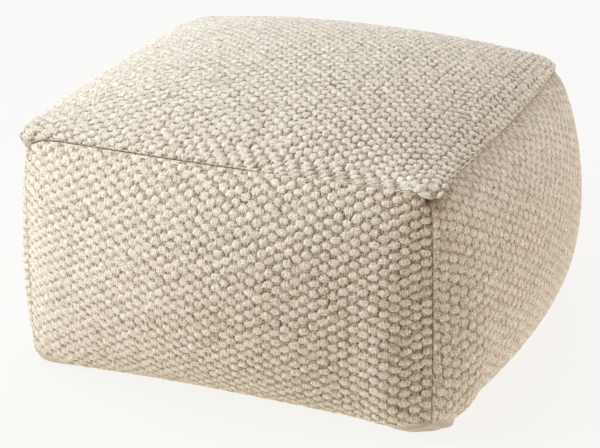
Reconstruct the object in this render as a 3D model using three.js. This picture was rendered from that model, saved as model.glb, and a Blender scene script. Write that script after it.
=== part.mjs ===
// Woven wool pouf: a stuffed floor cushion with five woven panels and a plain cotton base.
// Millimetres, +Z up, the front to -Y. The origin is on the floor, under the middle of the pouf.
import * as THREE from 'three';

// Driving sizes
const SEAM_SQUARE = 550; // side of the square that the top seam runs round
const TOP_SEAM_HEIGHT = 322; // the top seam above the floor, at the middle of a side
const TOP_SEAM_BOW = 7; // the stuffing bows the top seam outwards at the middle of a side
const BASE_SEAM_HEIGHT = 9; // the seam of the base cloth above the floor
const CROWN_HEIGHT = 60; // rise of the stuffed top over its seam
const CROWN_FLAT = 2.3; // 2 is a parabola, more is flatter in the middle
const CROWN_EDGE = 0.82; // less than 1 makes the edges fuller
const PANEL_GAP = 0.25; // each panel stands out by this, which leaves a hair line along each seam

// The four sides, each turned by quarter turns from the front. swell is how far a panel stands out at
// its fullest, and summit is where along it that is, as a share of half a side from its middle. edge is
// the same as CROWN_EDGE, along the panel. drawnIn is how far its base seam is drawn in at the middle,
// and foot and head are the powers that share the swelling out between its lower and its upper part.
const SIDES = [
  { name: 'front_panel', turn: 0, swell: 80, summit: 0.07, edge: 0.85, drawnIn: 34, foot: 0.54, head: 0.77 },
  { name: 'right_panel', turn: 1, swell: 75, summit: -0.09, edge: 0.6, drawnIn: 0, foot: 0.52, head: 0.63 },
  { name: 'back_panel', turn: 2, swell: 64, summit: 0, edge: 0.7, drawnIn: 20, foot: 0.6, head: 0.7 },
  { name: 'left_panel', turn: 3, swell: 41, summit: 0, edge: 0.6, drawnIn: -4, foot: 0.58, head: 0.8 },
];

// The corners, each at the right-hand end of the side in the same row above. topDraw and baseDraw are
// how far the sewing draws each seam in towards the middle, drop is how far the top seam sinks, lift
// is how far the base seam rises, swell is how far the upright seam bows out on the diagonal, lobe is
// how plump the top panel is there and lean is how far that lobe hangs out over the seams. pucker is
// how far the base seam bunches out to either side of the corner, and puff is how far the base cloth
// swells out under it.
const CORNERS = [
  { topDraw: 4, baseDraw: -3, drop: 5, lift: 22, swell: 3, lobe: 13, lean: 16, pucker: 17, puff: 9 },
  { topDraw: 20, baseDraw: 12, drop: 17, lift: 12, swell: 7, lobe: 3, lean: 5, pucker: 5, puff: 10 },
  { topDraw: 12, baseDraw: 12, drop: 12, lift: 12, swell: 8, lobe: 3, lean: 5, pucker: 4, puff: 8 },
  { topDraw: 9, baseDraw: 10, drop: 25, lift: 12, swell: 1, lobe: 13, lean: 14, pucker: 3, puff: 3 },
];
const CORNER_PROFILE = { foot: 0.8, head: 0.8 };
const DRAW_POWER = 8; // how near to the corners the seams are drawn in
const DROP_POWER = 14; // and how near to them the top seam sinks
// Shares of half a side, from a corner: how far the base seam is lifted, and where it puckers out
const LIFT_REACH = 0.2;
const PUCKER_PLACE = 0.15;
const PUCKER_REACH = 0.12;

const LOBE_REACH = 50; // how far along the sides a plump corner of the top reaches
const LOBE_LIP = 5; // the lobe's rim rolls over within this distance of the seam
const LEAN_LIP = 4; // and hangs out over it from this distance
const FOOT_FLAT = 0.9; // share of the base, from its middle, that lies flat on the floor
const CURL_POWER = 1.5; // how gently the base then leaves the floor
const PUFF_POWER = 1.5; // how near to the corners the base cloth puffs out

// Grid steps: the same along every seam of the square, so that neighbouring panels meet point for point
const STEPS_ALONG = 30;
const STEPS_UP = 16;

const WOOL = new THREE.MeshStandardMaterial({ color: 0xded3c1, roughness: 0.95, metalness: 0 });
const COTTON = new THREE.MeshStandardMaterial({ color: 0xcdc2ad, roughness: 0.9, metalness: 0 });

const HALF = SEAM_SQUARE / 2;
const CENTRE = new THREE.Vector3(0, 0, (TOP_SEAM_HEIGHT + BASE_SEAM_HEIGHT) / 2);

// Turns a point of the front side round to another side, a quarter turn at a time
function turned(x, y, z, quarters) {
  let [a, b] = [x, y];
  for (let i = 0; i < quarters; i += 1) {
    [a, b] = [-b, a];
  }
  return new THREE.Vector3(a, b, z);
}

// Rises from 0 at both ends to 1, with one power at the foot and one at the head
function swellAt(v, { foot, head }) {
  const peak = foot / (foot + head);
  const curve = (s) => s ** foot * (1 - s) ** head;
  return curve(v) / curve(peak);
}

// Moves 0 to the summit, and leaves -1 and 1 where they are
function fromSummit(t, summit) {
  return t + summit * (t * t - 1);
}

// A soft hump of height 1 at a place, a reach wide to either side
function hump(x, place, reach) {
  return Math.exp(-(((x - place) / reach) ** 2));
}

// The corner at one end of a side: end is -1 on its left and 1 on its right
function cornerAt(side, end) {
  return CORNERS[(side.turn + (end > 0 ? 0 : 3)) % 4];
}

// The seams. t runs along a side from -1 at its left corner to 1 at its right corner.
function topSeam(side, t) {
  const corner = cornerAt(side, t);
  const half = HALF - corner.topDraw * Math.abs(t) ** DRAW_POWER;
  const height = TOP_SEAM_HEIGHT - corner.drop * Math.abs(t) ** DROP_POWER;
  return turned(t * half, -half - TOP_SEAM_BOW * (1 - t * t), height, side.turn);
}

function baseSeam(side, t) {
  const corner = cornerAt(side, t);
  const half = HALF - corner.baseDraw * Math.abs(t) ** DRAW_POWER;
  const fromCorner = 1 - Math.abs(t);
  const height = BASE_SEAM_HEIGHT + corner.lift * hump(fromCorner, 0, LIFT_REACH);
  const out = corner.pucker * hump(fromCorner, PUCKER_PLACE, PUCKER_REACH);
  return turned(t * half, -half - out + side.drawnIn * (1 - t * t), height, side.turn);
}

// The upright seam at one end of a side, with v from 0 at the base to 1 at the top
function uprightSeam(side, end, v) {
  const foot = baseSeam(side, end);
  const point = foot.clone().lerp(topSeam(side, end), v);
  const outwards = new THREE.Vector3(foot.x, foot.y, 0).normalize();
  return point.addScaledVector(outwards, cornerAt(side, end).swell * swellAt(v, CORNER_PROFILE));
}

// The surface stretched between four edge curves, each a function of 0 to 1 (a Coons patch)
function stretched(bottom, top, left, right, s, v) {
  const between = (a, b, k) => a.clone().lerp(b, k);
  const across = between(left(v), right(v), s);
  const up = between(bottom(s), top(s), v);
  const corners = between(between(bottom(0), bottom(1), s), between(top(0), top(1), s), v);
  return across.add(up).sub(corners);
}

function sidePoint(side, s, v) {
  const point = stretched(
    (k) => baseSeam(side, 2 * k - 1),
    (k) => topSeam(side, 2 * k - 1),
    (k) => uprightSeam(side, -1, k),
    (k) => uprightSeam(side, 1, k),
    s,
    v,
  );
  const along = (1 - fromSummit(2 * s - 1, side.summit) ** 2) ** side.edge;
  const swell = side.swell * along * swellAt(v, side);
  return point.add(turned(0, -swell, 0, side.turn));
}

// The square inside four seams, seen from above: s runs to +X and v to +Y
function insideSeams(seam, s, v) {
  const [front, right, back, left] = SIDES;
  return stretched(
    (k) => seam(front, 2 * k - 1),
    (k) => seam(back, 1 - 2 * k),
    (k) => seam(left, 1 - 2 * k),
    (k) => seam(right, 2 * k - 1),
    s,
    v,
  );
}

// The corner of the quarter of the square that a point is in, with x and y from -1 to 1
function nearestCorner(x, y) {
  if (y < 0) return x > 0 ? CORNERS[0] : CORNERS[3];
  return x > 0 ? CORNERS[1] : CORNERS[2];
}

// The stuffed top: a dome over the seams, with sunken corner tips and a plump lobe before each
function topPoint(s, v) {
  const point = insideSeams(topSeam, s, v);
  const [x, y] = [2 * s - 1, 2 * v - 1];
  const corner = nearestCorner(x, y);
  const rise = (k) => (1 - Math.abs(k) ** CROWN_FLAT) ** CROWN_EDGE;
  const crown = CROWN_HEIGHT * rise(x) * rise(y);
  const fromSides = [HALF * (1 - Math.abs(x)), HALF * (1 - Math.abs(y))];
  const rim = (lip) => 1 - Math.exp(-Math.min(...fromSides) / lip);
  const near = hump(Math.hypot(...fromSides), 0, LOBE_REACH);
  const lobe = corner.lobe * rim(LOBE_LIP) * near;
  point.z = TOP_SEAM_HEIGHT - corner.drop * Math.abs(x * y) ** DROP_POWER + crown + lobe;
  const outwards = new THREE.Vector3(Math.sign(x), Math.sign(y), 0).normalize();
  return point.addScaledVector(outwards, corner.lean * rim(LEAN_LIP) * near);
}

// Flat on the floor in the middle, curling up to the base seam, with a puff under each corner
function basePoint(s, v) {
  const point = insideSeams(baseSeam, s, v);
  const [x, y] = [2 * s - 1, 2 * v - 1];
  const fromMiddle = Math.max(Math.abs(x), Math.abs(y));
  const curl = Math.max(0, (fromMiddle - FOOT_FLAT) / (1 - FOOT_FLAT));
  point.z *= curl ** CURL_POWER;
  const puff = nearestCorner(x, y).puff * Math.sin(Math.PI * curl) * Math.abs(x * y) ** PUFF_POWER;
  return point.addScaledVector(new THREE.Vector3(x, y, 0).normalize(), puff);
}

// Steps from 0 to 1 that lie closer together at both ends, where a panel rolls over its seam
function easedSteps(count) {
  return Array.from({ length: count + 1 }, (_, i) => (1 - Math.cos((Math.PI * i) / count)) / 2);
}

// A closed body from a panel's outer surface, a function of (s, v): the filling behind it narrows
// from the panel's four seams to the middle of the pouf. The surface's s to v turn faces outwards.
function filledPanel(surface, stepsAlong, stepsUp, standOut) {
  const along = easedSteps(stepsAlong);
  const up = easedSteps(stepsUp);
  const points = up.flatMap((v) => along.map((s) => surface(s, v)));
  const at = (i, j) => j * along.length + i;
  const faces = [];
  for (let j = 0; j < stepsUp; j += 1) {
    for (let i = 0; i < stepsAlong; i += 1) {
      faces.push(at(i, j), at(i + 1, j), at(i + 1, j + 1));
      faces.push(at(i, j), at(i + 1, j + 1), at(i, j + 1));
    }
  }
  const rim = [];
  for (let i = 0; i < stepsAlong; i += 1) rim.push(at(i, 0));
  for (let j = 0; j < stepsUp; j += 1) rim.push(at(stepsAlong, j));
  for (let i = stepsAlong; i > 0; i -= 1) rim.push(at(i, stepsUp));
  for (let j = stepsUp; j > 0; j -= 1) rim.push(at(0, j));
  const middle = points.length;
  points.push(CENTRE.clone());
  rim.forEach((point, i) => faces.push(rim[(i + 1) % rim.length], point, middle));

  points.forEach((point) => point.add(standOut));
  const geometry = new THREE.BufferGeometry().setFromPoints(points);
  geometry.setIndex(faces);
  geometry.computeVertexNormals();
  return geometry;
}

function addPanel(group, name, geometry, material) {
  const mesh = new THREE.Mesh(geometry, material);
  mesh.name = name;
  group.add(mesh);
}

const pouf = new THREE.Group();

SIDES.forEach((side) => {
  const surface = (s, v) => sidePoint(side, s, v);
  const standOut = turned(0, -PANEL_GAP, PANEL_GAP, side.turn);
  const geometry = filledPanel(surface, STEPS_ALONG, STEPS_UP, standOut);
  addPanel(pouf, side.name, geometry, WOOL);
});

const raised = new THREE.Vector3(0, 0, 2 * PANEL_GAP);
const topGeometry = filledPanel(topPoint, STEPS_ALONG, STEPS_ALONG, raised);
addPanel(pouf, 'top_panel', topGeometry, WOOL);

// Seen from below, so its steps run the other way round
const baseSurface = (s, v) => basePoint(1 - s, v);
const baseGeometry = filledPanel(baseSurface, STEPS_ALONG, STEPS_ALONG, new THREE.Vector3());
addPanel(pouf, 'base_panel', baseGeometry, COTTON);

// The fuller right side would leave the origin off the middle of the whole pouf
const middle = new THREE.Box3().setFromObject(pouf).getCenter(new THREE.Vector3());
pouf.position.set(-middle.x, -middle.y, 0);

export default pouf;
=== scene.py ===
"""A woven wool pouf: a stuffed cube of thick undyed yarn, closed underneath with plain cotton cloth.

Every panel is one surface, worked out with numpy as a function of two shares: s from its left seam
to its right seam and v from its lower seam to its upper seam. Those surfaces have the formulas and
the values of the solids. The weave stands on them as real relief, one rounded float of yarn after
another. It is here alone, and so are the seams and the nose of the near corner.
"""
import math
from functools import partial

import bpy
import numpy as np
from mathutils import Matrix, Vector


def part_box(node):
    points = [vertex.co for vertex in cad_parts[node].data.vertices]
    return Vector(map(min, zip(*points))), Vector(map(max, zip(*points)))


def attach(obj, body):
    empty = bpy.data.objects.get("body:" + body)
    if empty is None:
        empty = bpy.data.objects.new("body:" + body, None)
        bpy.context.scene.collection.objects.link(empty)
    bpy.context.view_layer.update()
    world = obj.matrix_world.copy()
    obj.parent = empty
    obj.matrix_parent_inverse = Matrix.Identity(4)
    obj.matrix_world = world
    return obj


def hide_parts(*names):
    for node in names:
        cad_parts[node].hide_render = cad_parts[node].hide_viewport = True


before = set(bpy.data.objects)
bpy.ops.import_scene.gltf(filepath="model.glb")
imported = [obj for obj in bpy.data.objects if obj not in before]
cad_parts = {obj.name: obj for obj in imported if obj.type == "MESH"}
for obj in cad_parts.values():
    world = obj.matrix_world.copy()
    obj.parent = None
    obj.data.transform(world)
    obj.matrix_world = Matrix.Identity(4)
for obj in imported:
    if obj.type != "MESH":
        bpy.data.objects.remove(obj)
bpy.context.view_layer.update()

# Driving sizes of the stuffed form, in metres, the same as the solids have
SEAM_SQUARE = 0.550  # side of the square that the top seam runs round
HALF = SEAM_SQUARE / 2
TOP_SEAM_HEIGHT = 0.322  # the top seam above the floor, at the middle of a side
TOP_SEAM_BOW = 0.007  # the stuffing bows the top seam outwards at the middle of a side
BASE_SEAM_HEIGHT = 0.009  # the seam of the base cloth above the floor
CROWN_HEIGHT = 0.060  # rise of the stuffed top over its seam
CROWN_FLAT = 2.3  # 2 is a parabola, more is flatter in the middle
CROWN_EDGE = 0.82  # less than 1 makes the edges fuller
DRAW_POWER = 8  # how near to the corners the seams are drawn in
DROP_POWER = 14  # and how near to them the top seam sinks
# Shares of half a side, from a corner: how far the base seam is lifted, and where it puckers out
LIFT_REACH = 0.2
PUCKER_PLACE = 0.15
PUCKER_REACH = 0.12
LOBE_REACH = 0.050  # how far along the sides a plump corner of the top reaches
LOBE_LIP = 0.005  # the lobe's rim rolls over within this distance of the seam
LEAN_LIP = 0.004  # and hangs out over it from this distance
FOOT_FLAT = 0.9  # share of the base, from its middle, that lies flat on the floor
CURL_POWER = 1.5  # how gently the base then leaves the floor
PUFF_POWER = 1.5  # how near to the corners the base cloth puffs out
CORNER_PROFILE = (0.8, 0.8)  # powers of the upright seams' bow at foot and head
SOLID_STEPS = 30  # grid steps along each seam of the solids
MIDDLE = np.array([0.0, 0.0, (TOP_SEAM_HEIGHT + BASE_SEAM_HEIGHT) / 2])  # to which each panel narrows

# The nose of the near corner, which rolls over both its seams, and the lip that runs on from it along
# the right one. The solids have neither. The humps that shape the nose leave 8 of its 11 mm.
NOSE_OUT = 0.011
NOSE_DOWN = 0.005  # for each of the two seams
NOSE_LIP = 0.0025  # its rim rolls over within this distance of the seam
NOSE_DEPTH = 0.014  # how far in over the top it reaches
NOSE_TIP = 0.004  # it starts this far from the corner
NOSE_REACH = 0.045  # and reaches this far along the seams
LIP_OUT = 0.0035
LIP_DOWN = 0.0015
ENDS_POWER = 8  # how near to the ends of its edge a lip or a hollow fades out

# The sides by quarter turns from the front: swelling, its summit along the side and how full it is
# towards the ends, draw-in of the base seam, and the powers of the swelling at foot and head
SIDES = {
    "front_panel": dict(turn=0, swell=0.080, summit=0.07, edge=0.85, drawn_in=0.034, foot=0.54, head=0.77),
    "right_panel": dict(turn=1, swell=0.075, summit=-0.09, edge=0.60, drawn_in=0.0, foot=0.52, head=0.63),
    "back_panel": dict(turn=2, swell=0.064, summit=0.0, edge=0.70, drawn_in=0.020, foot=0.60, head=0.70),
    "left_panel": dict(turn=3, swell=0.041, summit=0.0, edge=0.60, drawn_in=-0.004, foot=0.58, head=0.80),
}

# The corners: each list gives those at the right-hand ends of the sides above, in the same order.
# top_draw and base_draw are how far the sewing draws each seam in towards the middle, drop is how far the
# top seam sinks, lift is how far the base seam rises, swell is how far the upright seam bows out on the
# diagonal, lobe is how plump the top is there and lean is how far that lobe hangs out. pucker is how far
# the base seam bunches out to either side of the corner, and puff is how far the base cloth swells out
# under it: in the solids 9 mm at the near corner. pulled, how far the tip of the top is pulled in, and
# foot_power, how square the foot is (2 would be a circle), are in the scene alone.
CORNERS = {
    "top_draw": np.array([0.004, 0.020, 0.012, 0.009]),
    "base_draw": np.array([-0.003, 0.012, 0.012, 0.010]),
    "drop": np.array([0.005, 0.017, 0.012, 0.025]),
    "lift": np.array([0.022, 0.012, 0.012, 0.012]),
    "swell": np.array([0.003, 0.007, 0.008, 0.001]),
    "lobe": np.array([0.013, 0.003, 0.003, 0.013]),
    "lean": np.array([0.016, 0.005, 0.005, 0.014]),
    "pucker": np.array([0.017, 0.005, 0.004, 0.003]),
    "puff": np.array([0.003, 0.010, 0.008, 0.003]),
    "pulled": np.array([0.013, 0.002, 0.002, 0.005]),
    "foot_power": np.array([20.0, 80.0, 80.0, 80.0]),
}

# The weave: columns of yarn that come up in rounded floats, every second column half a row further up.
# Sizes across are shares of a column's width, and sizes along the yarn are shares of a row's height.
RELIEF = 0.0038  # metres from the hollows to the tops of the floats, where strong is 1
MOST_SLANT = 0.15  # the rows slant against the columns by this at most
FLOAT_POWERS = (3.0, 2.6)  # of the oval that a float covers, across and along the yarn
FLOAT_FORM = 0.28  # power of its height: less is flatter on top and steeper at the rim
YARN_HALF_WIDTH = 0.54
YARN_HEIGHT = 0.42  # of the floats' height: the yarn between two floats of a column
RIM_FADE = 0.09  # where two things differ less than this in height, a painted shade line runs between them
STANDS_OUT = 0.15  # share of the relief that stands out of the panel's form
PRESSED_TONE = 0.65  # in the painted shade of the hollows, cloth that is pressed flat has the tone of yarn at this height
PAINTED_HOLLOW_SHADE = (0.6, 0.45)  # painted shade of the hollows: the first, plus the second times strong, and 1 at most
EXTRA_LINES = [0.25, 0.5, 1.5, 2.5]  # a panel's grid has more lines at these steps from each edge
LAYING_ROUNDS = 3  # how often a grid's rows and columns are spread evenly, in turn

# Each float is a little different, at random: the spread of its place both ways, its width, its length,
# its height and its slant. The seeds are for the top and for the front, from which the others count on.
MOVED = 0.035
WIDER = 0.05
LONGER = 0.06
HIGHER = 0.06
SLANTED = 0.06
TOP_SEED = 11
SIDE_SEED = 21

# How the cloth lies on a panel that is f of the way across and g of the way up: the column and the row
# are both sums of f, f^2, f^3, g, f g, f^2 g, g^2, f g^2 and g^3, each times its number here. strong is
# how much of the relief there is at the panel's left, middle and right. width is half a float's width in
# columns and length half its length in rows, at the same three places. lines is the number of steps of
# the panel's grid across and up.
POWERS = [(1, 0), (2, 0), (3, 0), (0, 1), (1, 1), (2, 1), (0, 2), (1, 2), (0, 3)]
CLOTH = {
    "front_panel": dict(
        columns=[56.1, 2.7, -8.8, -3.6, -8.1, 10.6, 4.3, -0.7, -2.4],
        rows=[-10.2, 7.6, 3.2, 15.1, 15.9, -15.2, 12.7, 0.2, -7.1],
        strong=(0.78, 0.76, 0.74), width=(0.69, 0.62, 0.57), length=(0.41, 0.34, 0.31), lines=(424, 208)),
    "right_panel": dict(
        columns=[49.6, 10.4, -13.9, 5.6, -6.4, 3.2, -7.2, 5.5, 2.7],
        rows=[-22.8, 33.3, -12.6, 14.0, 29.7, -24.9, 10.8, -6.6, -4.1],
        strong=(0.50, 0.45, 0.45), width=(0.54, 0.55, 0.57), length=(0.36, 0.38, 0.40), lines=(384, 208)),
    **dict.fromkeys(("back_panel", "left_panel"), dict(
        columns=[53, 0, 0, 0, 0, 0, 0, 0, 0],
        rows=[0, 0, 0, 25, 0, 0, 0, 0, 0],
        strong=(0.8, 0.8, 0.8), width=(0.58, 0.58, 0.58), length=(0.38, 0.38, 0.38), lines=(368, 190))),
    "top_panel": dict(
        columns=[52.5, 21.8, -12.6, 8.2, -20.8, 3.8, -5.9, 13.7, -2.4],
        rows=[6.6, -9.5, 2.4, 36.7, -1.1, 0.0, 3.3, 6.4, -5.1],
        strong=(0.96, 0.92, 1.28), width=(0.62, 0.57, 0.54), length=(0.42, 0.40, 0.38), lines=(372, 248)),
}

# Seams, in metres: how deep the cloth is drawn in where a seam is tight, and how wide that groove is
SEAM_DEPTH = 0.0030
SEAM_WIDTH = 0.0011
SEAM_PRESSED = 0.0016  # the floats are pressed flat within this distance of a tight seam,
SEAM_FLAT = 0.0007  # and within this one of every seam,
SEAM_PLAIN = 0.0009  # and no painted shade lines run between them within this one
STITCH_REACH = 0.0013  # how far from the seam its dark stitches reach
STITCH_GAPS = 0.35  # how dark the seam still is between two stitches
LOOSE_OUT = 0.004  # a loose seam stands out by this instead, over this distance
LOOSE_WIDTH = 0.009
ENDS_REACH = 0.02  # share of an edge, next to a corner, where its seam is drawn in or stands out less
PULLED_REACH = 0.011  # the corners of the top are pulled in within this distance
PULLED_SHADE = 0.008  # and painted in shade within this one,
PULLED_DARK = 0.013  # fully so where they are pulled in by this or more

# Where a panel is hollow under a seam: how deep, how far below the seam and how wide. The hollow starts
# at a distance from the seam.
HOLLOW = {("right_panel", "top"): (0.003, 0.007, 0.009)}
HOLLOW_START = 0.003

# Where the floats are pressed flat over a broader band beside a seam: how broad, and how much firmer
# than the seam is tight. The band begins over a share of the edge from the near corner.
BAND = {("top_panel", "right"): (0.0055, 0.8)}
NO_BAND = (0.0, 0.1)
BAND_START = 0.12

# Shade in the cloth beside a seam: how dark, how wide, and where its middle is and how far it reaches
# along the edge, both as shares of it. A line of shade also runs behind the tight part of the front
# seam: how dark, how far behind the seam and how wide.
SHADE = {
    ("top_panel", "bottom"): (0.6, 0.018, 1, 0.07),
    ("top_panel", "right"): (0.6, 0.013, 0, 0.05),
    ("right_panel", "top"): (0.44, 0.040, 0, math.inf),
}
SHADE_LINE = {("top_panel", "bottom"): (0.3, 0.0045, 0.004)}

# The base cloth: steps of its grid, and the folds where it is gathered under the near corner
BASE_LINES = 200
FOLDS_HEIGHT = 0.0020  # to either side
FOLDS_APART = 0.010
FOLDS_REACH = 0.060
BULGE = 0.012  # and it bulges out on the right of that corner, this far from it and this wide
BULGE_PLACE = 0.045
BULGE_REACH = 0.040

# How tight each edge of a panel is sewn, as places from 0 to 1 along it and the tightness there: from 0
# for cloth that runs on over the seam to 1 for a seam that is drawn in
FRONT_TOP = ([0, 0.05, 0.10, 0.57, 0.66, 0.95, 0.985, 1], [1.2, 1.1, 1.1, 1.0, 0.0, 0.0, 0.8, 1.2])
RIGHT_TOP = ([0, 0.02, 0.05, 0.15, 1], [1.2, 0.9, 0.4, 0.3, 0.3])
NEAR_UPRIGHT = ([0, 0.97, 1], [0.8, 0.8, 1.2])
LEFT_UPRIGHT = ([0, 0.94, 1], [0.7, 0.7, 1.2])
BASE = ([0, 1], [0.571, 0.571])  # drawn in as far as it stands out: flush with the base cloth
PLAIN = ([0, 1], [0.6, 0.6])
SEAMS = {
    "front_panel": dict(top=FRONT_TOP, left=LEFT_UPRIGHT, right=NEAR_UPRIGHT, bottom=BASE),
    "right_panel": dict(top=RIGHT_TOP, left=NEAR_UPRIGHT, right=PLAIN, bottom=BASE),
    "back_panel": dict(top=PLAIN, left=PLAIN, right=PLAIN, bottom=BASE),
    "left_panel": dict(top=PLAIN, left=PLAIN, right=LEFT_UPRIGHT, bottom=BASE),
    "top_panel": dict(top=PLAIN, left=PLAIN, right=RIGHT_TOP, bottom=FRONT_TOP),
}
LIPPED = {("top_panel", "right"), ("right_panel", "top")}  # a seam under a lip, which never stands out


def shift_of_the_solids():
    """How far the solids were moved to put the origin under the middle of the whole pouf: the middle of
    the top panel's box as packed, less the middle of the same box as the formula gives it."""
    s, v = np.meshgrid(eased(SOLID_STEPS), eased(SOLID_STEPS))
    points = top_surface(s, v)
    low, high = (np.array(corner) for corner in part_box("top_panel"))
    middle = (low + high) / 2 - (points.min((0, 1)) + points.max((0, 1))) / 2
    return np.array([middle[0], middle[1], 0.0])


def eased(count):
    """count steps from 0 to 1 that lie closer together at both ends: half of one minus a cosine."""
    return (1 - np.cos(np.linspace(0, math.pi, count + 1))) / 2


def turned(x, y, z, quarters):
    """The point (x, y, z) turned about the upright axis by quarter turns."""
    for _ in range(quarters):
        x, y = -y, x
    return np.stack(np.broadcast_arrays(x, y, z), axis=-1)


def swell_at(v, foot, head):
    """v to the power foot times (1 - v) to the power head, scaled so that its peak is 1."""
    peak = foot / (foot + head)
    curve = np.clip(v, 0, 1) ** foot * np.clip(1 - v, 0, 1) ** head
    return curve / (peak**foot * (1 - peak) ** head)


def hump(x, place, reach):
    """A soft hump of height 1: e to the minus square of the distance from place, in reaches."""
    return np.exp(-(((x - place) / reach) ** 2))


def corner_value(name, side, t):
    """The named value of the corner that is at the end of the side on which t lies."""
    row = CORNERS[name]
    turn = SIDES[side]["turn"]
    return np.where(t > 0, row[turn], row[(turn + 3) % 4])


def top_seam(side, t):
    """A straight line that bows out in the middle, is drawn in at the corners and sinks at them."""
    half = HALF - corner_value("top_draw", side, t) * np.abs(t) ** DRAW_POWER
    height = TOP_SEAM_HEIGHT - corner_value("drop", side, t) * np.abs(t) ** DROP_POWER
    return turned(t * half, -half - TOP_SEAM_BOW * (1 - t * t), height, SIDES[side]["turn"])


def base_seam(side, t):
    """A line near the floor, drawn in at its middle, lifted at the corners and puckered beside them.
    beyond carries its ends on as far as the pucker still is there, so that the two seams that come to a
    corner meet. Those of the solids end up to 5 mm apart."""
    half = HALF - corner_value("base_draw", side, t) * np.abs(t) ** DRAW_POWER
    from_corner = 1 - np.abs(t)
    height = BASE_SEAM_HEIGHT + corner_value("lift", side, t) * hump(from_corner, 0, LIFT_REACH)
    pucker = corner_value("pucker", side, t)
    inwards = SIDES[side]["drawn_in"] * (1 - t * t) - pucker * hump(from_corner, PUCKER_PLACE, PUCKER_REACH)
    beyond = pucker * hump(0, PUCKER_PLACE, PUCKER_REACH) * np.sign(t) * np.abs(t) ** DRAW_POWER
    return turned(t * half + beyond, -half + inwards, height, SIDES[side]["turn"])


def upright_seam(side, end, v):
    """The straight line between the two corners at that end, bowed out along the diagonal."""
    foot = base_seam(side, np.float64(end))
    head = top_seam(side, np.float64(end))
    outwards = foot * [1, 1, 0] / np.hypot(foot[0], foot[1])
    bow = corner_value("swell", side, np.float64(end)) * swell_at(v, *CORNER_PROFILE)
    return foot + (head - foot) * v[..., None] + outwards * bow[..., None]


def stretched(bottom, top, left, right, s, v):
    """A Coons patch: the blend across, plus the blend up, less the blend of the four corners."""
    zero, one = np.float64(0), np.float64(1)
    sk, vk = s[..., None], v[..., None]
    across = left(v) * (1 - sk) + right(v) * sk
    up = bottom(s) * (1 - vk) + top(s) * vk
    low = bottom(zero) * (1 - sk) + bottom(one) * sk
    high = top(zero) * (1 - sk) + top(one) * sk
    return across + up - (low * (1 - vk) + high * vk)


def side_surface(side, s, v):
    """The patch between the four seams, pushed outwards by the swelling along times the swelling up."""
    facts = SIDES[side]
    points = stretched(
        lambda k: base_seam(side, 2 * k - 1),
        lambda k: top_seam(side, 2 * k - 1),
        lambda k: upright_seam(side, -1, k),
        lambda k: upright_seam(side, 1, k),
        s,
        v,
    )
    t = 2 * s - 1
    along = np.clip(1 - (t + facts["summit"] * (t * t - 1)) ** 2, 0, 1) ** facts["edge"]
    swell = facts["swell"] * along * swell_at(v, facts["foot"], facts["head"])
    return points + turned(0.0, -swell, 0.0, facts["turn"])


def inside_seams(seam, s, v):
    """The square patch inside the four seams, seen from above: s runs to +X and v to +Y."""
    return stretched(
        lambda k: seam("front_panel", 2 * k - 1),
        lambda k: seam("back_panel", 1 - 2 * k),
        lambda k: seam("left_panel", 1 - 2 * k),
        lambda k: seam("right_panel", 2 * k - 1),
        s,
        v,
    )


def nearest_corner(name, x, y):
    """The named value of the corner in whose quarter of the square the point lies."""
    row = CORNERS[name]
    return np.where(y < 0, np.where(x > 0, row[0], row[3]), np.where(x > 0, row[1], row[2]))


def top_surface(s, v):
    """A dome over the seams, with sunken corner tips and a plump lobe before each tip that leans
    outwards. The dome's rise is the product of (1 - |x|^flat)^edge and the same of y."""
    points = inside_seams(top_seam, s, v)
    x, y = 2 * s - 1, 2 * v - 1
    dome = np.clip((1 - np.abs(x) ** CROWN_FLAT) * (1 - np.abs(y) ** CROWN_FLAT), 0, 1) ** CROWN_EDGE
    from_x, from_y = HALF * (1 - np.abs(x)), HALF * (1 - np.abs(y))
    from_seam = np.minimum(from_x, from_y)
    near = hump(np.hypot(from_x, from_y), 0, LOBE_REACH)
    lobe = nearest_corner("lobe", x, y) * (1 - np.exp(-from_seam / LOBE_LIP)) * near
    lean = nearest_corner("lean", x, y) * (1 - np.exp(-from_seam / LEAN_LIP)) * near
    sunk = nearest_corner("drop", x, y) * np.abs(x * y) ** DROP_POWER
    points[..., 2] = TOP_SEAM_HEIGHT - sunk + CROWN_HEIGHT * dome + lobe
    points[..., 0] += lean * np.sign(x) / math.sqrt(2)
    points[..., 1] += lean * np.sign(y) / math.sqrt(2)
    return points


def fading_at_ends(along):
    """1 along most of an edge and 0 at both ends: 1 - (2 along - 1)^power."""
    return 1 - (2 * along - 1) ** ENDS_POWER


def top_cloth(s, v):
    """The top with its near corner rolled over: a rounded nose that hangs out over both seams, most of
    all a little way from the corner, so that it hides them from above. A lip runs on from it along the
    right seam."""
    points = top_surface(s, v)
    from_front, from_right = HALF * 2 * v, HALF * 2 * (1 - s)
    for axis, away, beside in ((1, from_front, from_right), (0, from_right, from_front)):
        roll = (1 - np.exp(-away / NOSE_LIP)) * hump(away, 0, NOSE_DEPTH)
        nose = roll * (1 - hump(beside, 0, NOSE_TIP)) * hump(beside, 0, NOSE_REACH)
        points[..., axis] += NOSE_OUT * nose * (1 if axis == 0 else -1)
        points[..., 2] -= NOSE_DOWN * nose
        if axis == 0:
            lip = roll * (1 - hump(beside, 0, NOSE_REACH)) * fading_at_ends(v)
            points[..., 0] += LIP_OUT * lip
            points[..., 2] -= LIP_DOWN * lip
    return points


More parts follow.
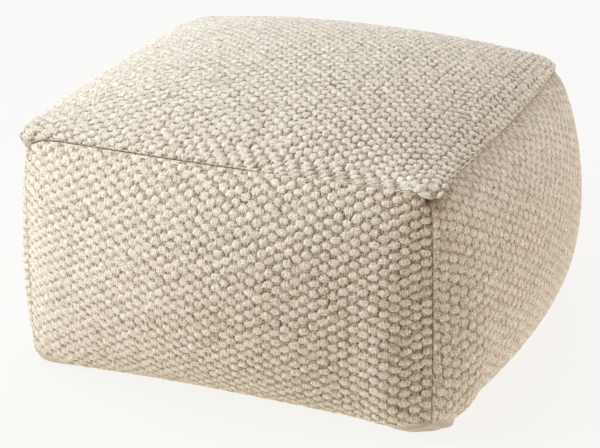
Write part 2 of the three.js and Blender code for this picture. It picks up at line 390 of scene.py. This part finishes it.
def base_surface(s, v):
    """Flat on the floor in the middle, curling up to the base seam, with a puff under each corner. The
    flat part is a square with rounded corners: |x|^power + |y|^power is the same all round it."""
    points = inside_seams(base_seam, s, v)
    x, y = 2 * s - 1, 2 * v - 1
    power = nearest_corner("foot_power", x, y)
    round_square = (np.abs(x) ** power + np.abs(y) ** power) ** (1 / power)
    curl = np.clip((round_square - FOOT_FLAT) / (1 - FOOT_FLAT), 0, 1)
    points[..., 2] *= curl**CURL_POWER
    puff = nearest_corner("puff", x, y) * np.sin(math.pi * curl) * np.abs(x * y) ** PUFF_POWER
    reach = np.maximum(np.hypot(x, y), 1e-9)
    points[..., 0] += puff * x / reach
    points[..., 1] += puff * y / reach
    return points


SHIFT = shift_of_the_solids()


def cloth_lines(count):
    """Places of a grid's lines from 0 to 1, with some more of them close to both ends, where the cloth
    is drawn into a seam."""
    extra = np.array(EXTRA_LINES) / count
    return np.unique(np.concatenate([np.linspace(0, 1, count + 1), extra, 1 - extra]).round(9))


def laid(numbers, f, g):
    """The column or row of the cloth at the shares f and g: a sum of powers of both."""
    return sum(number * f**i * g**j for number, (i, j) in zip(numbers, POWERS))


def even_shares(surface, across, up):
    """Shares s and v of a net over the surface whose meshes are as wide and as high everywhere as they
    are in flat cloth: in turn, rows and columns of points are spread along their lines in the given
    proportions across and up, which both run from 0 to 1."""
    s, v = np.meshgrid(eased(len(across) - 1), eased(len(up) - 1))
    for _ in range(LAYING_ROUNDS):
        for axis, wanted in ((1, across), (0, up)):
            steps = np.linalg.norm(np.diff(surface(s, v), axis=axis), axis=-1)
            walked = np.cumsum(steps, axis=axis)
            walked = np.insert(walked / np.take(walked, [-1], axis=axis), 0, 0, axis=axis)
            lines = zip(*(np.moveaxis(grid, axis, 1) for grid in (walked, s, v)))
            spread = [(np.interp(wanted, w, a), np.interp(wanted, w, b)) for w, a, b in lines]
            s, v = (np.moveaxis(np.array(grids), 1, axis) for grids in zip(*spread))
    return s, v


def normals_of(points):
    """Outward unit normals of a grid of points: across by up."""
    across = np.gradient(points, axis=1)
    up = np.gradient(points, axis=0)
    normals = np.cross(across, up)
    return normals / np.maximum(np.linalg.norm(normals, axis=-1, keepdims=True), 1e-12)


def slant_of_rows(points, p, q):
    """How far the rows of the cloth slant against its columns: the part of a column's step that goes
    along the yarn, as a share of a row's step. Both steps follow, by Cramer's rule, from how the points
    and the cloth's column p and row q change over the grid."""
    steps = np.gradient(points, axis=1), np.gradient(points, axis=0)
    p_steps = np.gradient(p, axis=1)[..., None], np.gradient(p, axis=0)[..., None]
    q_steps = np.gradient(q, axis=1)[..., None], np.gradient(q, axis=0)[..., None]
    turn = p_steps[0] * q_steps[1] - p_steps[1] * q_steps[0]
    column_step = (steps[0] * q_steps[1] - steps[1] * q_steps[0]) / turn
    row_step = (steps[1] * p_steps[0] - steps[0] * p_steps[1]) / turn
    return (column_step * row_step).sum(-1) / (row_step**2).sum(-1)


def floats_of_yarn(p, q, skew, half_width, half_length, chance):
    """The weave's height from 0 to 1 at column p and row q, which float of yarn lies there, and how
    close the next thing is in height: 1 where two floats meet, and 0 on top of one.

    A float is a pad on an oval, (1 - |dp/width|^3 - |dq/length|^2.6)^form, with dp and dq counted from
    its middle. Every second column's floats lie half a row further up. Between its floats a column's
    yarn runs low, a ridge whose section is half an oval. Each float has its own small shift, size and
    height, and where two things meet the higher one shows. skew is how far the rows slant."""
    p, q = p - math.floor(p.min()), q - math.floor(q.min())
    shape = (int(q.max()) + 5, int(p.max()) + 4)  # with some floats to spare past each edge
    move_p, move_q = chance.normal(0, MOVED, shape), chance.normal(0, MOVED, shape)
    wider = np.exp(chance.normal(0, WIDER, shape))
    longer = np.exp(chance.normal(0, LONGER, shape))
    higher = np.exp(chance.normal(0, HIGHER, shape))
    slant = chance.normal(0, SLANTED, shape)
    tint = chance.random(shape)
    height, under, shade = np.zeros_like(p), np.zeros_like(p), np.full_like(p, 0.5)
    for side_step in (-1, 0, 1):
        column = np.floor(p).astype(int) + side_step
        across = np.abs(p - column - 0.5) / YARN_HALF_WIDTH
        yarn = YARN_HEIGHT * np.sqrt(np.clip(1 - across**2, 0, 1))
        height, under = np.maximum(height, yarn), np.maximum(under, np.minimum(height, yarn))
        lift = 0.5 * (column % 2)
        nearest = np.floor(q - lift).astype(int)
        for up_step in (-1, 0, 1):
            row = nearest + up_step
            at = (np.clip(row + 2, 0, shape[0] - 1), np.clip(column + 1, 0, shape[1] - 1))
            dp = p - (column + 0.5 + move_p[at])
            dq = q - (row + 0.5 + lift + move_q[at]) + (skew - slant[at]) * dp
            inside = 1 - (np.abs(dp) / (half_width * wider[at])) ** FLOAT_POWERS[0]
            inside = inside - (np.abs(dq) / (half_length * longer[at])) ** FLOAT_POWERS[1]
            pad = higher[at] * np.clip(inside, 0, 1) ** FLOAT_FORM
            shade = np.where(pad > height, tint[at], shade)
            height, under = np.maximum(height, pad), np.maximum(under, np.minimum(height, pad))
    return height, shade, np.exp(-(height - under) / RIM_FADE)


def closed_mesh(name, points, apex, values, uv):
    """A closed body: the grid of points, and behind it a cone from its rim to the apex. values are
    numbers kept on the grid's points for the material, by name, and uv is the place in the cloth."""
    rows, columns = points.shape[:2]
    number = np.arange(rows * columns).reshape(rows, columns)
    corners = (number[:-1, :-1], number[:-1, 1:], number[1:, 1:], number[1:, :-1])
    quads = np.stack(corners, axis=-1).reshape(-1, 4)
    rim = np.concatenate([number[0], number[1:, -1], number[-1, -2::-1], number[-2:0:-1, 0]])
    cone = np.stack([np.roll(rim, -1), rim, np.full_like(rim, number.size)], axis=-1)
    mesh = bpy.data.meshes.new(name)
    places = np.vstack([points.reshape(-1, 3), apex])
    mesh.vertices.add(len(places))
    mesh.vertices.foreach_set("co", places.ravel())
    loops = np.concatenate([quads.ravel(), cone.ravel()])
    mesh.loops.add(len(loops))
    mesh.loops.foreach_set("vertex_index", loops)
    starts = np.concatenate([np.arange(len(quads)) * 4, quads.size + np.arange(len(cone)) * 3])
    mesh.polygons.add(len(starts))
    mesh.polygons.foreach_set("loop_start", starts)
    mesh.update(calc_edges=True)
    mesh.validate()
    mesh.polygons.foreach_set("use_smooth", np.arange(len(starts)) < len(quads))
    flat_uv = np.vstack([uv.reshape(-1, 2), uv.reshape(-1, 2).mean(0)])
    mesh.uv_layers.new(name="weave").data.foreach_set("uv", flat_uv[loops].ravel())
    for title, grid in values.items():
        layer = mesh.attributes.new(title, "FLOAT", "POINT")
        layer.data.foreach_set("value", np.append(grid.ravel(), 0.0))
    piece = bpy.data.objects.new(name, mesh)
    bpy.context.scene.collection.objects.link(piece)
    return piece


def at_the_seams(node, points, f, g, p, q):
    """What the seams do to each point of a panel of cloth: how far it is pressed flat, how far it is
    drawn in (less than 0 is out), how dark stitches and painted shade make it, and how close a seam is.
    All but the second are from 0 to 1."""
    width = np.linalg.norm(np.diff(points, axis=1), axis=-1).sum(1)[:, None]
    length = np.linalg.norm(np.diff(points, axis=0), axis=-1).sum(0)[None, :]
    pressed, tuck, stitches_and_shade, loose, beside = (np.zeros_like(f) for _ in range(5))
    edges = {"left": (f * width, g, q), "right": ((1 - f) * width, g, q),
             "bottom": (g * length, f, p), "top": ((1 - g) * length, f, p)}
    for edge, (from_seam, along, threads) in edges.items():
        place = node, edge
        tight = np.interp(along, *SEAMS[node][edge])
        begins, ends = 1 - hump(along, 0, ENDS_REACH), 1 - hump(along, 1, ENDS_REACH)

        band, firmer = BAND.get(place, NO_BAND)
        flat = hump(from_seam, 0, np.maximum(SEAM_PRESSED, band * (1 - hump(along, 0, BAND_START))))
        pressed = np.maximum(pressed, np.clip(tight + firmer, 0, 1) * flat)
        pressed = np.maximum(pressed, hump(from_seam, 0, SEAM_FLAT))
        beside = np.maximum(beside, hump(from_seam, 0, SEAM_PLAIN))

        # a side isn't drawn in at its feet, so that it meets the base cloth there
        feet = {"bottom": begins * ends, "left": begins, "right": begins} if node != "top_panel" else {}
        tuck = np.maximum(tuck, tight * SEAM_DEPTH * hump(from_seam, 0, SEAM_WIDTH) * feet.get(edge, 1))
        if place in HOLLOW:
            deep, below, wide = HOLLOW[place]
            inside = fading_at_ends(along) * (1 - hump(from_seam, 0, HOLLOW_START))
            tuck = tuck + deep * hump(from_seam, below, wide) * inside
        if place not in LIPPED:
            out = np.clip(1 - tight, 0, 1) * LOOSE_OUT * hump(from_seam, 0, LOOSE_WIDTH)
            loose = np.maximum(loose, out * begins * ends)

        stitch = 0.5 + 0.5 * np.cos(2 * math.pi * threads)
        stitches = np.clip(tight * (STITCH_GAPS + (1 - STITCH_GAPS) * stitch), 0, 1)
        stitches_and_shade = np.maximum(stitches_and_shade, stitches * hump(from_seam, 0, STITCH_REACH))
        # painted shade in the cloth beside some seams, and a painted line of shade behind the front one
        if place in SHADE:
            dark, wide, at, reach = SHADE[place]
            stitches_and_shade = np.maximum(stitches_and_shade, dark * hump(from_seam, 0, wide) * hump(along, at, reach))
        if place in SHADE_LINE:
            dark, behind, wide = SHADE_LINE[place]
            stitches_and_shade = np.maximum(stitches_and_shade, dark * tight * hump(from_seam, behind, wide))
    for pulled, side in zip(CORNERS["pulled"], SIDES):
        from_corner = np.linalg.norm(points - top_seam(side, np.float64(1)), axis=-1)
        tuck = tuck + pulled * hump(from_corner, 0, PULLED_REACH)
        # painted shade at the tips of the corners that are pulled in
        stitches_and_shade = np.maximum(stitches_and_shade, np.clip(pulled / PULLED_DARK, 0, 1) * hump(from_corner, 0, PULLED_SHADE))
    return pressed, tuck - loose, stitches_and_shade, beside


def woven_panel(name, node, plain, surface, seed):
    """One panel of the wool cloth with its weave in relief, drawn in at its seams. The cloth's shares
    are laid out on the plain surface, which has no lips. The material gets four numbers from 0 to 1:
    relief is the yarn's height, which it turns into painted shade in the hollows, shade the tint of its
    float, rim the closeness of the next float, for painted shade lines between floats, and seam how dark
    stitches and painted shade beside the seams make it."""
    cloth = CLOTH[node]
    across, up = (cloth_lines(count) for count in cloth["lines"])
    s, v = even_shares(plain, across, up)
    points = surface(s, v)
    normals = normals_of(points)
    f, g = np.meshgrid(across, up)
    p, q = laid(cloth["columns"], f, g), laid(cloth["rows"], f, g)
    skew = np.clip(slant_of_rows(points, p, q), -MOST_SLANT, MOST_SLANT)
    strength, half_width, half_length = (
        np.interp(f, [0, 0.5, 1], cloth[key]) for key in ("strong", "width", "length"))
    chance = np.random.default_rng(seed)
    height, shade, rim = floats_of_yarn(p, q, skew, half_width, half_length, chance)
    pressed, drawn_in, stitches_and_shade, beside = at_the_seams(node, points, f, g, p, q)
    grows = 1 - pressed
    relief = RELIEF * strength * (height - 1 + STANDS_OUT) * grows
    inwards = MIDDLE - points
    inwards /= np.linalg.norm(inwards, axis=-1, keepdims=True)
    points = points + normals * relief[..., None] + inwards * drawn_in[..., None]
    # painted shade of the hollows: the tone falls with the yarn's height, the more so where the relief is
    # strong
    painted_hollow_shade = np.clip(PAINTED_HOLLOW_SHADE[0] + PAINTED_HOLLOW_SHADE[1] * strength, 0, 1)
    tone = 1 - (1 - height * grows - PRESSED_TONE * pressed) * painted_hollow_shade
    # rim feeds the painted shade lines between floats, which stop beside a seam
    values = {"relief": tone, "shade": shade, "rim": rim * np.sqrt(strength) * (1 - beside), "seam": stitches_and_shade}
    points = points + SHIFT
    piece = closed_mesh(name, points, MIDDLE + SHIFT, values, np.stack([p, q], axis=-1))
    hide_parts(node)
    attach(piece, "root")
    return piece


def base_cloth(name):
    """The plain cotton cloth that closes the underside. Towards the near corner it lies in folds along
    the seam, a sine of the distance from it, and it bulges out on the right of that corner."""
    s, v = even_shares(base_surface, eased(BASE_LINES), eased(BASE_LINES))
    points = base_surface(s, v)
    x, y = 2 * s - 1, 2 * v - 1
    from_seam = HALF * (1 - np.maximum(np.abs(x), np.abs(y)))
    near_corner = hump(np.hypot(HALF * (1 - x), HALF * (1 + y)), 0, FOLDS_REACH)
    folds = FOLDS_HEIGHT * near_corner * np.sin(2 * math.pi * from_seam / FOLDS_APART)
    points[..., 0] += folds / math.sqrt(2)
    points[..., 1] -= folds / math.sqrt(2)
    curl = np.clip((np.abs(x) - FOOT_FLAT) / (1 - FOOT_FLAT), 0, 1) * (x > 0)
    points[..., 0] += BULGE * np.sin(math.pi * curl) * hump(HALF * (1 + y), BULGE_PLACE, BULGE_REACH)
    points = (points + SHIFT)[:, ::-1]
    piece = closed_mesh(name, points, MIDDLE + SHIFT, {}, np.stack([s, v], axis=-1))
    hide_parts("base_panel")
    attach(piece, "root")
    return piece


def new_material(name):
    """An empty node material, and a function that adds a node to it: its kind, its inputs, each a value
    or the output of another node, by name or by number, and its settings."""
    material = bpy.data.materials.new(name)
    material.use_nodes = True
    tree = material.node_tree
    tree.nodes.clear()

    def node(kind, inputs=(), **settings):
        made = tree.nodes.new("ShaderNode" + kind)
        for key, value in settings.items():
            setattr(made, key, value)
        for key, value in dict(inputs).items():
            named = (s for s in made.inputs if s.name == key and s.enabled)
            socket = made.inputs[key] if isinstance(key, int) else next(named)
            if isinstance(value, bpy.types.NodeSocket):
                tree.links.new(value, socket)
            else:
                socket.default_value = value
        return made

    return material, node


def colour_of(mix):
    """The colour output of a mix node, which keeps an output of the same name for every kind of value."""
    return next(s for s in mix.outputs if s.enabled)


def ramp_of(node, factor, *stops):
    """Colours between the stops, each a place from 0 to 1 and a colour."""
    made = node("ValToRGB", {"Fac": factor})
    elements = made.color_ramp.elements
    while len(elements) < len(stops):
        elements.new(1.0)
    for element, (place, colour) in zip(elements, stops):
        element.position, element.color = place, (*colour, 1)
    return made.outputs["Color"]


def noise_of(node, vector, scale, detail, roughness):
    """Noise from 0 to 1 at the places that the vector gives."""
    settings = {"Vector": vector, "Scale": scale, "Detail": detail, "Roughness": roughness}
    return node("TexNoise", settings).outputs["Fac"]


def wool():
    """Thick undyed sheep's wool: cream, each float a little different, with painted shade that turns the
    hollows brown. The layers below multiply: the yarn's cream with painted shade by its depth, tint of
    each float, painted shade lines between floats, fibres along the yarn, fine specks, dark specks of
    painted shade in the hollows alone, and the stitches with painted shade beside seams."""
    material, node = new_material("woven_wool")
    relief, shade, rim, seam = (
        node("Attribute", attribute_name=name).outputs["Fac"] for name in ("relief", "shade", "rim", "seam"))
    uv = node("UVMap", uv_map="weave").outputs["UV"]
    place = node("TexCoord").outputs["Object"]
    strands_uv = node("Mapping", {"Vector": uv, "Scale": (6.5, 0.9, 1.0)}).outputs["Vector"]
    strands = noise_of(node, strands_uv, 1.0, 3.0, 0.75)
    grain = noise_of(node, place, 560.0, 2.0, 0.7)
    gap_speck_noise = noise_of(node, place, 480.0, 1.0, 0.5)
    white, black = (1.0, 1.0, 1.0), (0.0, 0.0, 0.0)
    # the yarn's cream, darkening to brown as painted shade in its hollows
    cream_and_hollow_shade = ramp_of(node, relief, (0.05, (0.36, 0.27, 0.175)), (0.40, (0.64, 0.53, 0.385)),
                    (0.55, (0.82, 0.725, 0.58)), (0.85, (0.89, 0.795, 0.655)))
    tints = ramp_of(node, shade, (0.0, (0.90, 0.87, 0.82)), (0.35, (0.97, 0.955, 0.93)),
                    (0.6, (1.0, 0.965, 0.95)), (0.8, (0.98, 0.965, 0.94)), (1.0, white))
    # painted shade: a dark line in the crease where two floats meet
    lines = ramp_of(node, rim, (0.0, white), (0.5, (0.87, 0.835, 0.80)), (1.0, (0.30, 0.23, 0.16)))
    fibres = ramp_of(node, strands, (0.36, (0.68, 0.65, 0.60)), (0.48, (0.95, 0.94, 0.93)),
                     (0.60, (1.12, 1.12, 1.12)))
    specks = ramp_of(node, grain, (0.36, (0.58, 0.53, 0.46)), (0.46, (0.96, 0.95, 0.94)),
                     (0.60, (1.15, 1.15, 1.15)))
    # painted shade: dark specks in the small gaps of the weave, in the hollows alone
    low = ramp_of(node, relief, (0.35, white), (0.8, black))
    gap_shade_specks = ramp_of(node, gap_speck_noise, (0.41, (0.24, 0.19, 0.13)), (0.49, white))
    dotted = colour_of(node("Mix", {"Factor": low, "A": (*white, 1), "B": gap_shade_specks}, data_type="RGBA"))
    # the stitches' own dark colour, and the painted shade beside seams and at pulled-in corners
    stitch_and_shade_colour = ramp_of(node, seam, (0.2, white), (1.0, (0.34, 0.20, 0.09)))
    colour = cream_and_hollow_shade
    for layer in (tints, lines, fibres, specks, dotted, stitch_and_shade_colour):
        colour = colour_of(node("Mix", {"Factor": 1.0, "A": colour, "B": layer},
                                data_type="RGBA", blend_type="MULTIPLY"))
    height = node("Math", {0: strands, 1: grain}, operation="ADD").outputs["Value"]
    rough = node("Bump", {"Height": height, "Strength": 0.8, "Distance": 0.0012}).outputs["Normal"]
    finish = node("BsdfPrincipled", {
        "Base Color": colour, "Roughness": 0.95, "Normal": rough, "Specular IOR Level": 0.2,
        "Sheen Weight": 0.25, "Sheen Roughness": 0.5, "Sheen Tint": (1.0, 0.98, 0.96, 1)})
    node("OutputMaterial", {"Surface": finish.outputs["BSDF"]})
    return material


def cotton():
    """Plain pale cotton cloth."""
    material, node = new_material("base_cotton")
    finish = node("BsdfPrincipled", {
        "Base Color": (0.62, 0.53, 0.41, 1), "Roughness": 0.9, "Sheen Weight": 0.15})
    node("OutputMaterial", {"Surface": finish.outputs["BSDF"]})
    return material


# The stage, in metres and watts. The lamps are square and soft, each a place, a side, a power and a
# colour: the key lamp on the left, one overhead, and two weaker ones on the right and behind.
FLOOR_REACH = 30.0
LAMPS = {
    "key": ((-2.95, -1.95, 1.72), 2.0, 121, (0.86, 0.98, 1.13)),
    "overhead": ((-0.8, -0.3, 3.9), 3.0, 101, (0.84, 0.975, 1.15)),
    "fill": ((3.7, 1.5, 0.30), 2.0, 91, (0.98, 0.97, 1.03)),
    "back": ((-0.8, 3.6, 2.2), 2.0, 52, (0.78, 0.97, 1.26)),
}
LAMPS_AIM = (0, 0, 0.2)

# The camera that was fitted to the photo, in metres, degrees and, for the lens, millimetres
CAMERA_PLACE = (1.0279, -2.5164, 1.2547)
CAMERA_ROUND = 22.3168
CAMERA_UP = 22.3043
CAMERA_LENS = 132.0
CAMERA_SENSOR = 36.0


def floor_and_light():
    """A floor that glows in near-white, as bright as the photo's ground, a dim warm sky and the lamps."""
    scene = bpy.context.scene
    material, node = new_material("floor")
    finish = node("BsdfPrincipled", {
        "Base Color": (0.08, 0.08, 0.08, 1), "Roughness": 1.0, "Specular IOR Level": 0.0,
        "Emission Color": (1.0, 0.985, 0.955, 1), "Emission Strength": 0.87})
    node("OutputMaterial", {"Surface": finish.outputs["BSDF"]})
    mesh = bpy.data.meshes.new("floor")
    ring = [(-1, -1), (1, -1), (1, 1), (-1, 1)]
    mesh.from_pydata([(FLOOR_REACH * x, FLOOR_REACH * y, 0) for x, y in ring], [], [(0, 1, 2, 3)])
    mesh.materials.append(material)
    floor = bpy.data.objects.new("floor", mesh)
    scene.collection.objects.link(floor)
    world = bpy.data.worlds.new("studio")
    world.use_nodes = True
    sky = world.node_tree.nodes["Background"]
    sky.inputs["Color"].default_value = (1.0, 0.77, 0.51, 1)
    sky.inputs["Strength"].default_value = 0.20
    scene.world = world
    for name, (place, size, watts, colour) in LAMPS.items():
        data = bpy.data.lights.new(name, "AREA")
        data.size, data.energy, data.color = size, watts, colour
        lamp = bpy.data.objects.new(name, data)
        lamp.location = place
        lamp.rotation_euler = (Vector(LAMPS_AIM) - Vector(place)).to_track_quat("-Z", "Y").to_euler()
        scene.collection.objects.link(lamp)


def set_camera():
    """The photo's camera. It was fitted before the solids were moved, so it is moved as they were."""
    data = bpy.data.cameras.new("camera")
    data.lens, data.sensor_width = CAMERA_LENS, CAMERA_SENSOR
    camera = bpy.data.objects.new("camera", data)
    camera.location = Vector(CAMERA_PLACE) + Vector(SHIFT)
    round_angle, up_angle = math.radians(CAMERA_ROUND), math.radians(CAMERA_UP)
    camera.rotation_euler = (math.pi / 2 - up_angle, 0, round_angle)
    bpy.context.scene.collection.objects.link(camera)
    bpy.context.scene.camera = camera


top = woven_panel("top_weave", "top_panel", top_surface, top_cloth, TOP_SEED)
walls = []
for node, facts in SIDES.items():
    side = partial(side_surface, node)
    walls.append(woven_panel(node.replace("panel", "weave"), node, side, side, SIDE_SEED + facts["turn"]))
wool_material = wool()
for piece in [top, *walls]:
    piece.data.materials.append(wool_material)
underside = base_cloth("base_cloth")
underside.data.materials.append(cotton())
floor_and_light()
set_camera()
bpy.context.scene.view_settings.view_transform = "Standard"
